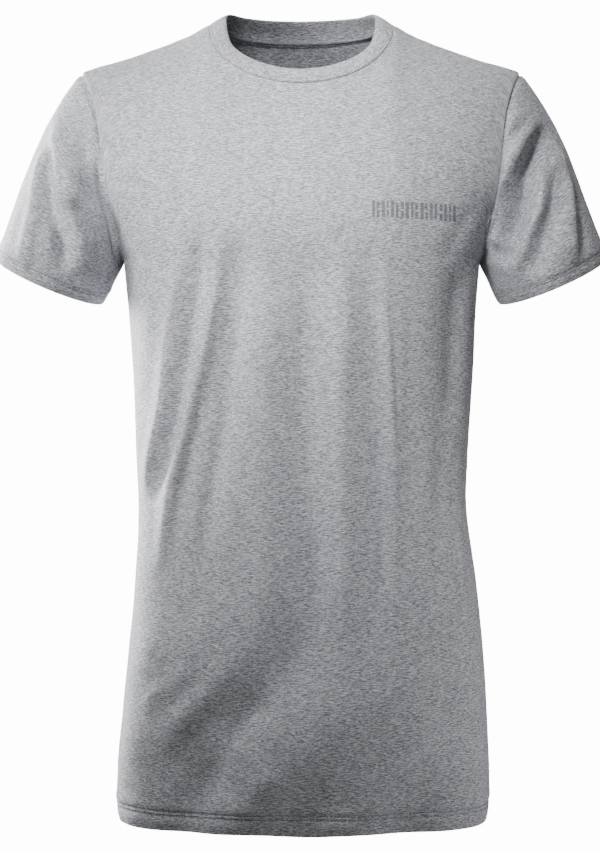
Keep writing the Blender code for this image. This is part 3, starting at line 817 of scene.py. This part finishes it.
def thicken(piece, from_hem, turn_up):
    """Gives a shell its thickness inwards, doubled in the turn-up."""
    doubled = piece.vertex_groups.new(name="turn_up")
    plain = CLOTH / TURN_UP_CLOTH
    shares = 1.0 - (1.0 - plain) * ease((from_hem - turn_up) / TURN_UP_EDGE + 0.5)
    for i, share in enumerate(shares):
        doubled.add([i], float(share), "REPLACE")
    wall = piece.modifiers.new("wall", "SOLIDIFY")
    wall.thickness = TURN_UP_CLOTH * MM
    wall.offset = -1.0
    wall.use_rim = True
    wall.vertex_group = "turn_up"
    wall.thickness_vertex_group = 0.0
    select_only(piece)
    bpy.ops.object.modifier_apply(modifier=wall.name)
    piece.vertex_groups.clear()


def finish_piece(piece, material, slot, *nodes):
    """Smooth shading, material and the piece's place on the frame."""
    select_only(piece)
    bpy.ops.object.shade_smooth_by_angle(angle=math.radians(SHARP))
    piece.data.materials.clear()
    piece.data.materials.append(material)
    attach(piece, "root")
    if nodes:
        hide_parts(*nodes)


def make_body(points, normals):
    """Front and back, each a shell with its hem turned up inside."""
    shaped = {}
    for panel in ("front", "back"):
        outer = shape_panel(points[panel], normals[panel])
        shaped[panel] = outer
        flat = points[panel]
        middle = flat.shape[1] // 2
        level = flat * [1.0, 1.0, 0.0]
        across = lengths(level, 1)
        across = across - across[:, middle:middle + 1]
        up = lengths(flat, 0)
        if panel == "back":
            outer, across, up = outer[:, ::-1], -across[:, ::-1], up[:, ::-1]
        piece = grid_piece("shirt_" + panel, outer, across, up)
        thicken(piece, up.reshape(-1), BODY_TURN_UP)
        finish_piece(piece, JERSEY, "jersey", panel)
    return shaped


def make_sleeve(name, rings, own):
    """One set-in sleeve with its underarm seam and turned-up hem."""
    outer = shape_sleeve(name, rings, own)
    outer[:, -1] = outer[:, 0]
    down = lengths(rings, 0)
    round_it = lengths(rings, 1)
    round_it = round_it - 0.5 * round_it[:, -1:]
    piece = grid_piece("shirt_" + name, outer, round_it, down, weld=True)
    height = np.array([corner.co for corner in piece.data.vertices]) / MM
    hem = rings[0].mean(axis=0)
    axis = unit(rings[4].mean(axis=0) - hem)
    thicken(piece, (height - hem) @ axis, CUFF_TURN_UP)
    finish_piece(piece, JERSEY, "jersey", name)
    return outer, rings


# ---- neckband and tape
def neck_loop(grids):
    """The neck seam's round, from the middle of the back by -X across the front and +X."""
    front = grids["front"][-1, NECK_SLICE]
    back = grids["back"][-1, NECK_SLICE][::-1][1:-1]
    loop = np.concatenate([front, back])
    return np.roll(loop, len(back) // 2, axis=0)


def even_loop(loop, values, count):
    """A closed loop and values on it, at even lengths, with the first place again at the end."""
    closed = np.concatenate([loop, loop[:1]])
    run = lengths(closed, 0)
    at = np.linspace(0.0, run[-1], count + 1)
    return line_at(at, run, closed), line_at(at, run, np.concatenate([values, values[:1]])), at


def soften_loop(values, passes):
    """Evens out a closed loop whose last row repeats the first."""
    for _ in range(passes):
        core = values[:-1]
        core = 0.25 * np.roll(core, 1, axis=0) + 0.5 * core + 0.25 * np.roll(core, -1, axis=0)
        values = np.concatenate([core, core[:1]])
    return values


# Neckband's section: height up the band and how far it stands out, round from seam to seam;
# the last few places are the seam allowance, tucked in behind the body's edge.
BAND_SECTION = [
    (0.0, -0.75), (0.35, -0.1), (0.9, 0.35), (1.9, 0.62), (2.7, 0.55), (3.1, 0.3), (3.5, 0.55),
    (4.6, 0.75), (7.0, 0.85), (10.0, 0.85), (13.0, 0.65), (15.5, 0.3), (17.0, -0.15), (17.8, -0.7),
    (18.0, -1.25), (17.6, -1.8), (16.4, -2.1), (13.0, -1.9), (9.0, -1.6), (5.0, -1.5), (2.0, -1.6),
    (0.6, -1.8), (-1.2, -2.5), (-2.6, -2.6), (-2.7, -2.1), (-1.2, -1.9), (0.0, -1.5),
]
BAND_COLUMNS = 260
BAND_INWARDS = (0.58, 0.30)  # how far the band leans in at front and back, and more at the sides
BAND_UPWARDS = (0.80, -0.34)
BAND_ROOT = 0.25             # share of its height over which the band turns off the body's cloth
BAND_WAVE = (26, 26, 26)     # size of its slight waviness, and its depth at the top edge
BAND_WAVE_DEPTH = 0.7


def lengths_round(section):
    """Length run round a section's outline, from its first place."""
    return np.cumsum([0.0] + [math.dist(a, b) for a, b in zip(section, section[1:])])


def neck_frame(points, normals):
    """The neck seam with the directions that the band stands in."""
    seam, seam_normals, run = even_loop(neck_loop(points), neck_loop(normals), BAND_COLUMNS)
    seam, seam_normals = soften_loop(seam, 3), unit(soften_loop(seam_normals, 6))
    ring = seam[:-1]
    ahead = np.roll(ring, -1, axis=0) - np.roll(ring, 1, axis=0)
    ahead = soften_loop(np.concatenate([ahead, ahead[:1]]), 4)
    inwards = unit(np.stack([-ahead[:, 1], ahead[:, 0], np.zeros(len(ahead))], axis=1))
    level = np.abs(inwards[:, :1])
    lean = unit(inwards * (BAND_INWARDS[0] + BAND_INWARDS[1] * level**2)
                + UP * (BAND_UPWARDS[0] + BAND_UPWARDS[1] * level**2))
    outwards = unit(np.cross(ahead, lean))
    return seam, seam_normals, lean, outwards, run


def make_neckband(points, normals):
    """The folded rib band, one closed ring with a rolled top edge."""
    seam, seam_normals, lean, outwards, run = neck_frame(points, normals)
    section = BAND_SECTION + BAND_SECTION[:1]
    up_band = np.clip(np.array([height for height, out in section]) / BAND_HEIGHT, 0.0, 1.0)
    rows = []
    for (height, out), up in zip(section, up_band):
        share = min(1.0, up / BAND_ROOT)
        direction = unit(seam_normals * (1.0 - share) + outwards * share)
        rows.append(seam + lean * height + direction * out)
    grid = np.array(rows)
    wave = ripple(grid, BAND_WAVE, 1.9)[..., None]
    grid += outwards[None] * wave * BAND_WAVE_DEPTH * up_band[:, None, None]
    grid[:, -1] = grid[:, 0]
    piece = grid_piece("neckband_rib", grid, run[None, :], lengths_round(section)[:, None], weld=True)
    finish_piece(piece, RIB, "rib", "neckband")
    return seam, seam_normals, lean


# Tape's section: distance below the seam, and how far it stands in from the cloth's outside.
TAPE_SECTION = [
    (0.4, 1.4), (0.9, 1.75), (1.5, 1.9), (1.9, 1.75), (2.4, 2.3), (3.4, 2.95), (5.0, 3.25),
    (6.6, 3.0), (7.6, 2.4), (8.1, 1.9), (8.5, 2.15), (9.1, 2.2), (9.8, 1.9), (10.0, 1.35),
    (9.0, 1.3), (5.0, 1.3), (1.0, 1.3),
]
TAPE_STITCHES = (1.9, 8.1)
TAPE_STITCH_DEPTH = 2.12     # how far in from the cloth's outside its stitches lie


def tape_places(points, normals, below, depth):
    """A line of places on the tape, along the back neck seam."""
    columns = points["back"][:, NECK_SLICE]
    facing = normals["back"][:, NECK_SLICE]
    run = lengths(columns, 0)
    from_top = (run[-1] - run)[::-1]
    line = []
    for j in range(columns.shape[1]):
        place = line_at([below], from_top[:, j], columns[::-1, j])[0]
        normal = line_at([below], from_top[:, j], facing[::-1, j])[0]
        line.append(place - unit(normal) * depth)
    return np.array(line)


def make_tape(points, normals):
    """The tape that covers the back neck seam inside, sewn down by two rows."""
    section = TAPE_SECTION + TAPE_SECTION[:1]
    grid = np.array([tape_places(points, normals, below, depth) for below, depth in section])
    run = lengths(grid, 1)
    piece = grid_piece("back_neck_tape", grid, run, lengths_round(section)[:, None], weld=True)
    select_only(piece)
    bpy.ops.object.mode_set(mode="EDIT")
    bpy.ops.mesh.select_mode(type="EDGE")
    bpy.ops.mesh.select_all(action="DESELECT")
    bpy.ops.mesh.select_non_manifold()
    bpy.ops.mesh.fill_holes(sides=0)
    bpy.ops.mesh.select_all(action="SELECT")
    bpy.ops.mesh.normals_make_consistent(inside=False)
    bpy.ops.object.mode_set(mode="OBJECT")
    finish_piece(piece, TAPE, "tape", "neck_tape")


# ---- stitches
def stitch_shape():
    """One stitch, a small grain lying along X, as vertices and faces."""
    deselect()
    bpy.ops.mesh.primitive_uv_sphere_add(segments=6, ring_count=4, radius=0.5)
    grain = bpy.context.object
    bpy.ops.object.mode_set(mode="EDIT")
    bpy.ops.mesh.select_all(action="SELECT")
    bpy.ops.transform.resize(value=STITCH)
    bpy.ops.object.mode_set(mode="OBJECT")
    corners = np.array([corner.co for corner in grain.data.vertices])
    faces = [list(face.vertices) for face in grain.data.polygons]
    bpy.data.objects.remove(grain)
    return corners, faces


def stitch_rows(name, rows, material, slot):
    """Rows of stitches as one mesh; a row is a line of places, with the way out of the cloth."""
    corners, faces = stitch_shape()
    all_corners, all_faces = [], []
    for line, outwards in rows:
        run = lengths(line, 0)
        at = np.arange(0.5 * STITCH_PITCH, run[-1], STITCH_PITCH)
        place, out = line_at(at, run, line), line_at(at, run, outwards)
        ahead = unit(line_at(at + 0.5, run, line) - line_at(at - 0.5, run, line))
        beside = unit(np.cross(out, ahead))
        out = np.cross(ahead, beside)
        for i in range(len(at)):
            turned = corners @ np.array([ahead[i], beside[i], out[i]]) + place[i]
            base = len(all_corners) * len(corners)
            all_corners.append(turned)
            all_faces += [[base + corner for corner in face] for face in faces]
    mesh = bpy.data.meshes.new(name)
    mesh.from_pydata((np.concatenate(all_corners) * MM).tolist(), [], all_faces)
    finish_piece(new_object(name, mesh), material, slot)


def row_at(points, shaped, distance):
    """The line of a shaped grid that lies at a distance from its first row."""
    down = lengths(points, 0)[:, points.shape[1] // 2]
    row = int(np.argmin(np.abs(down - distance)))
    line = shaped[row]
    return line, unit(np.cross(np.gradient(line, axis=0), shaped[row + 1] - shaped[row - 1]))


def make_stitches(points, normals, shaped, sleeves, band):
    """All the sewing that shows."""
    hem = []
    for panel, sign in (("front", 1.0), ("back", -1.0)):
        for distance in HEM_STITCHES:
            line, out = row_at(points[panel], shaped[panel], distance)
            hem.append((line + out * sign * STITCH_OUT, out * sign))
    stitch_rows("hem_stitches", hem, THREAD, "jersey")
    for name, (outer, rings) in sleeves.items():
        rows = []
        for distance in CUFF_STITCHES:
            line, out = row_at(rings, outer, distance)
            rows.append((line + out * STITCH_OUT, out))
        stitch_rows("stitches_" + name, rows, THREAD, "jersey")
    seam, seam_normals, lean = band
    neck = seam - lean * NECK_STITCH_BELOW - seam_normals * NECK_STITCH_SUNK
    stitch_rows("neck_stitches", [(neck, seam_normals)], THREAD, "jersey")
    tape = []
    for below in TAPE_STITCHES:
        line = tape_places(points, normals, below, TAPE_STITCH_DEPTH)
        tape.append((line, -normals["back"][-1, NECK_SLICE]))
    stitch_rows("tape_stitches", tape, THREAD, "tape")


# ---- chest motif
# A row of plain upright strokes: width of each, its gap to the next, how much shorter it is at
# its top and foot, and whether it is split.
STROKES = table(
    "width gap top foot split",
    (2.6, 1.4, 0, 0, False), (2.6, 2.0, 1, 0, True), (3.0, 1.3, 0, 0, False), (1.9, 2.1, 0, 1, True),
    (2.8, 1.5, 0, 0, False), (2.4, 2.1, 1, 0, False), (2.8, 1.3, 0, 0, True), (3.2, 1.9, 0, 0, False),
    (2.2, 1.5, 0, 1, False), (2.8, 2.1, 1, 0, True), (3.0, 1.4, 0, 0, False), (2.2, 1.9, 0, 0, True),
    (2.8, 1.5, 0, 0, False), (2.4, 2.1, 0, 1, False), (3.0, 1.3, 1, 0, True), (2.6, 1.9, 0, 0, False),
    (2.2, 1.5, 0, 0, True), (2.8, 2.0, 0, 0, False),
)
MOTIF_LEFT = 63.0
MOTIF_MIDDLE = -180.5
MOTIF_HEIGHT = 15.0
MOTIF_SLOPE = -0.03
INK = 0.12                   # how far the ink stands out of the cloth, and sinks into it
INK_CELL = 1.6
STROKE_SPLIT = 1.0           # half the gap in a split stroke


def make_motif(front):
    """Ink strokes on the wearer's left breast, as thin plates laid on the cloth."""
    tree = BVHTree.FromObject(front, bpy.context.evaluated_depsgraph_get())
    corners, faces = [], []
    x = MOTIF_LEFT
    for stroke in STROKES:
        half = 0.5 * MOTIF_HEIGHT
        spans = [(-half + stroke.foot, half - stroke.top)]
        if stroke.split:
            spans = [(-half + stroke.foot, -STROKE_SPLIT), (STROKE_SPLIT, half - stroke.top)]
        for low, high in spans:
            steps = max(3, int((high - low) / INK_CELL))
            base = len(corners)
            for i in range(steps + 1):
                for j in range(3):
                    across = x + stroke.width * j / 2.0
                    up = low + (high - low) * i / steps
                    z = MOTIF_MIDDLE + up + (across - MOTIF_LEFT) * MOTIF_SLOPE
                    hit = tree.ray_cast(Vector((across * MM, -0.5, z * MM)), Vector((0, 1, 0)))
                    place, normal = hit[0], hit[1]
                    corners.append((place + normal * INK * MM, place - normal * INK * MM))
                    if i and j:
                        a = base + i * 3 + j
                        faces.append([a - 4, a - 3, a, a - 1])
        x += stroke.width + stroke.gap
    count = len(corners)
    mesh = bpy.data.meshes.new("chest_motif")
    edges = [edge for face in faces for edge in zip(face, face[1:] + face[:1])]
    known = set(edges)
    rims = [(a, b) for a, b in edges if (b, a) not in known]
    plates = list(faces)
    plates += [[count + corner for corner in face[::-1]] for face in faces]
    plates += [[b, a, count + a, count + b] for a, b in rims]
    places = [pair[0] for pair in corners] + [pair[1] for pair in corners]
    mesh.from_pydata([tuple(place) for place in places], [], plates)
    uv = mesh.uv_layers.new(name="UVMap")
    for loop in mesh.loops:
        place = mesh.vertices[loop.vertex_index].co
        uv.data[loop.index].uv = (place.x, place.z)
    finish_piece(new_object("chest_motif", mesh), PRINT, "jersey")


# ---- materials
def colour(code):
    """An sRGB hex colour as linear RGBA."""
    parts = [int(code[i:i + 2], 16) / 255.0 for i in (1, 3, 5)]
    return tuple(c / 12.92 if c <= 0.04045 else ((c + 0.055) / 1.055) ** 2.4 for c in parts) + (1.0,)


def feed(node, inputs):
    """Sets a node's inputs, each to a value or to the output that feeds it."""
    for name, value in inputs.items():
        if isinstance(value, bpy.types.NodeSocket):
            node.id_data.links.new(value, node.inputs[name])
        else:
            node.inputs[name].default_value = value


def add(tree, kind, settings=None, inputs=None):
    """Adds a shader node with its settings and inputs."""
    made = tree.nodes.new("ShaderNode" + kind)
    for name, value in (settings or {}).items():
        setattr(made, name, value)
    feed(made, inputs or {})
    return made


def new_material(name):
    """An empty material with a Principled shader on its output."""
    made = bpy.data.materials.new(name)
    made.use_nodes = True
    return made, made.node_tree, made.node_tree.nodes["Principled BSDF"]


LATTICE_TURN = 0.6           # radians


def cloth_noise(tree, size, detail, rough):
    """Noise on the cloth's own measure; size is a grain's width and height in millimetres.

    Its lattice is turned, so that no grains line up in columns.
    """
    place = add(tree, "TexCoord").outputs["UV"]
    scale = (1.0 / (size[0] * MM), 1.0 / (size[1] * MM), 1.0)
    placed = add(tree, "Mapping",
                 inputs={"Vector": place, "Scale": scale, "Rotation": (0.0, 0.0, LATTICE_TURN)})
    grain = add(tree, "TexNoise", {"noise_dimensions": "2D"},
                {"Vector": placed.outputs[0], "Scale": 1.0, "Detail": detail, "Roughness": rough})
    return grain.outputs[0]


def weigh(tree, *parts):
    """A sum of values, each with its weight."""
    total = None
    for value, weight in parts:
        scaled = add(tree, "Math", {"operation": "MULTIPLY"}, {0: value, 1: weight})
        scaled = scaled.outputs[0]
        if total is None:
            total = scaled
        else:
            total = add(tree, "Math", inputs={0: total, 1: scaled}).outputs[0]
    return total


def mixed(tree, value, low, high, dark, light):
    """A colour between two, as a value runs from low to high."""
    share = add(tree, "MapRange", inputs={"Value": value, "From Min": low, "From Max": high})
    return add(tree, "Mix", {"data_type": "RGBA"},
               {0: share.outputs[0], 6: dark, 7: light}).outputs[2]


# Marl's grains: size in mm, detail and roughness, and their weights in the tone and the relief.
# They are drawn a little coarser than single yarns, so that they show from far away.
MARL = table(
    "size detail rough tone relief",
    ((7.5, 0.8), 3.0, 0.62, 0.43, 0.5),     # a dyed yarn's run along a course
    ((3.6, 0.8), 2.0, 0.6, 0.34, 0.3),      # shorter flecks
    ((1.5, 1.1), 1.0, 0.5, 0.17, 0.2),      # single loops
    ((26.0, 7.0), 1.0, 0.5, 0.06, 0.0),     # slow drifts
)
DARKEST = 0.425              # the mix of grains that is wholly dark, and wholly pale
PALEST = 0.64
CORD_RELIEF = 0.22           # of a rib's cords beside the grains'
BUMP = 0.8


def heather(name, dark, light, roughness=0.86, sheen=0.25, relief=0.25, ribs=0.0):
    """Marl of dark and light fibres in short level streaks, matt, with a faint bloom of loose fibre."""
    made, tree, shader = new_material(name)
    grains = [cloth_noise(tree, row.size, row.detail, row.rough) for row in MARL]
    tone = weigh(tree, *[(grain, row.tone) for grain, row in zip(grains, MARL)])
    height = weigh(tree, *[(grain, row.relief) for grain, row in zip(grains, MARL) if row.relief])
    if ribs:
        # 1 x 1 rib: upright cords, this many millimetres apart
        place = add(tree, "TexCoord").outputs["UV"]
        scale = (1.0 / (ribs * MM), 0.0, 0.0)
        placed = add(tree, "Mapping", inputs={"Vector": place, "Scale": scale})
        level = add(tree, "SeparateXYZ", inputs={0: placed.outputs[0]}).outputs[0]
        turn = add(tree, "Math", {"operation": "MULTIPLY"}, {0: level, 1: 2.0 * math.pi})
        cords = add(tree, "Math", {"operation": "SINE"}, {0: turn.outputs[0]}).outputs[0]
        height = weigh(tree, (height, 1.0), (cords, CORD_RELIEF))
    marl = mixed(tree, tone, DARKEST, PALEST, colour(dark), colour(light))
    bump = add(tree, "Bump", inputs={"Height": height, "Strength": BUMP, "Distance": relief * MM})
    feed(shader, {"Base Color": marl, "Roughness": roughness, "Sheen Weight": sheen,
                  "Sheen Roughness": 0.5, "Specular IOR Level": 0.3, "Normal": bump.outputs[0]})
    return made


# Heather grey single jersey: cotton knit from dark and pale fibres spun together.
JERSEY = heather("heather_grey_single_jersey", "#7C7E85", "#F6F6FC")
# The same yarn knitted as a fine rib, which stands up in cords.
RIB = heather("heather_grey_cotton_rib", "#7C7E85", "#F6F6FC", relief=0.3, ribs=1.5)
# Jersey tape, cut along the grain and pressed. Its dark fibres are drawn paler than the body's jersey:
# painted light for the rounded tape catching the light.
TAPE = heather("jersey_seam_tape_painted_light", "#989AA1", "#F6F6FC", relief=0.3)
# Soft ink sunk into the knit, a shade under the cloth.
PRINT = heather("soft_print_ink", "#686A70", "#A0A2A8", sheen=0.1, relief=0.15)


THREAD_GRAINS = 900.0        # to the metre


def spun_thread(name, dark, light):
    """Matt polyester sewing thread, mottled by its twist."""
    made, tree, shader = new_material(name)
    place = add(tree, "TexCoord").outputs["Object"]
    grain = add(tree, "TexNoise", inputs={"Vector": place, "Scale": THREAD_GRAINS, "Detail": 1.0})
    mottle = mixed(tree, grain.outputs[0], 0.3, 0.7, colour(dark), colour(light))
    feed(shader, {"Base Color": mottle, "Roughness": 0.6, "Sheen Weight": 0.15})
    return made


# Spun polyester, drawn in a grey darker than the cloth: painted shade for the shadow each stitch sits in.
# The thread itself would match the cloth.
THREAD = spun_thread("spun_sewing_thread_painted_shade", "#5E6066", "#85878D")


# ---- the garment
points, normals = body_panels()
sleeve_forms = {"sleeve_left": sleeve_points(points, normals, 1.0),
                "sleeve_right": sleeve_points(points, normals, -1.0)}


def crease_lines():
    """Every crease's line, laid once on the cloth it belongs to."""
    cloth = {"body": (np.concatenate([points[panel].reshape(-1, 3) for panel in points]),
                      np.concatenate([normals[panel].reshape(-1, 3) for panel in points]))}
    for name, (rings, own) in sleeve_forms.items():
        cloth[name] = (rings.reshape(-1, 3), own.reshape(-1, 3))
    lines = {piece: [] for piece in cloth}
    for (piece, side), creases in CREASES.items():
        lines[piece] += [(crease, crease_line(crease, side, *cloth[piece])) for crease in creases]
    return lines


LINES = crease_lines()
shaped = make_body(points, normals)
sleeves = {name: make_sleeve(name, *form) for name, form in sleeve_forms.items()}
band = make_neckband(points, normals)
make_tape(points, normals)
make_stitches(points, normals, shaped, sleeves, band)
make_motif(bpy.data.objects["shirt_front"])


# ---- floor, lights, world and camera
FLOOR_RADIUS = 2.3
FLOOR_Z = -1.25
FILL = 0.09                  # strength of the world as a light, and as it is seen
SEEN_WHITE = 14.0
CAMERA_PLACE = (-0.00094, -2.1, -0.374)
LENS = 94.68

# Soft lights: place and target in metres, size in metres, spread in degrees, power in watts.
LIGHTS = table(
    "name place target size spread power",
    ("key", (-0.9, -0.36, 0.22), (0.0, -0.05, -0.26), (0.35, 0.35), 90, 2.85),
    ("chest", (-0.24, -0.8, 0.3), (0.01, -0.1, -0.18), (0.35, 0.35), 38, 0.85),
    ("top", (0.12, -0.2, 0.75), (0.08, 0.0, -0.05), (0.2, 0.2), 40, 0.24),
    ("left_behind", (-0.85, 0.6, -0.08), (-0.15, 0.0, -0.3), (0.3, 0.6), 80, 9.5),
    ("right_side", (1.1, -0.3, -0.74), (0.1, 0.0, -0.6), (0.3, 0.3), 42, 0.32),
    ("back_key", (-0.75, 1.3, 0.5), (0.0, 0.0, -0.3), (0.7, 0.7), 180, 14.0),
)


def make_floor():
    """A pale round floor, well below the hanging garment."""
    deselect()
    bpy.ops.mesh.primitive_circle_add(vertices=96, radius=FLOOR_RADIUS, fill_type="NGON",
                                      location=(0.0, 0.0, FLOOR_Z))
    floor = bpy.context.object
    floor.name = "studio_floor"
    made, _, shader = new_material("pale_studio_floor")
    feed(shader, {"Base Color": colour("#F2F2F2"), "Roughness": 0.9,
                  "Emission Color": colour("#FFFFFF"), "Emission Strength": 0.8})
    floor.data.materials.append(made)
    floor.visible_diffuse = False


def soft_light(name, place, target, size, spread, power):
    """A soft light turned to a target; spread is how wide its grid lets it shine."""
    light = bpy.data.lights.new(name, "AREA")
    light.shape = "RECTANGLE"
    light.size, light.size_y = size
    light.energy = power
    light.spread = math.radians(spread)
    lamp = new_object(name, light)
    lamp.location = place
    lamp.rotation_euler = (Vector(target) - Vector(place)).to_track_quat("-Z", "Y").to_euler()
    lamp.visible_camera = False


def make_world():
    """White all round: bright behind the garment, and weak as a light on it."""
    world = bpy.data.worlds.new("white_studio")
    bpy.context.scene.world = world
    world.use_nodes = True
    tree = world.node_tree
    tree.nodes.clear()
    fill = add(tree, "Background", inputs={"Color": colour("#FFFFFF"), "Strength": FILL})
    seen = add(tree, "Background", inputs={"Color": colour("#FFFFFF"), "Strength": SEEN_WHITE})
    path = add(tree, "LightPath")
    mix = add(tree, "MixShader",
              inputs={0: path.outputs["Is Camera Ray"], 1: fill.outputs[0], 2: seen.outputs[0]})
    add(tree, "OutputWorld", inputs={"Surface": mix.outputs[0]})


def make_camera():
    """Level with the garment's middle, straight in front."""
    lens = bpy.data.cameras.new("camera")
    lens.sensor_fit = "AUTO"
    lens.sensor_width = 36.0
    lens.lens = LENS
    camera = new_object("camera", lens)
    camera.location = CAMERA_PLACE
    camera.rotation_euler = (math.radians(90.0), 0.0, 0.0)
    bpy.context.scene.camera = camera


make_floor()
for light in LIGHTS:
    soft_light(*light)
make_world()
make_camera()
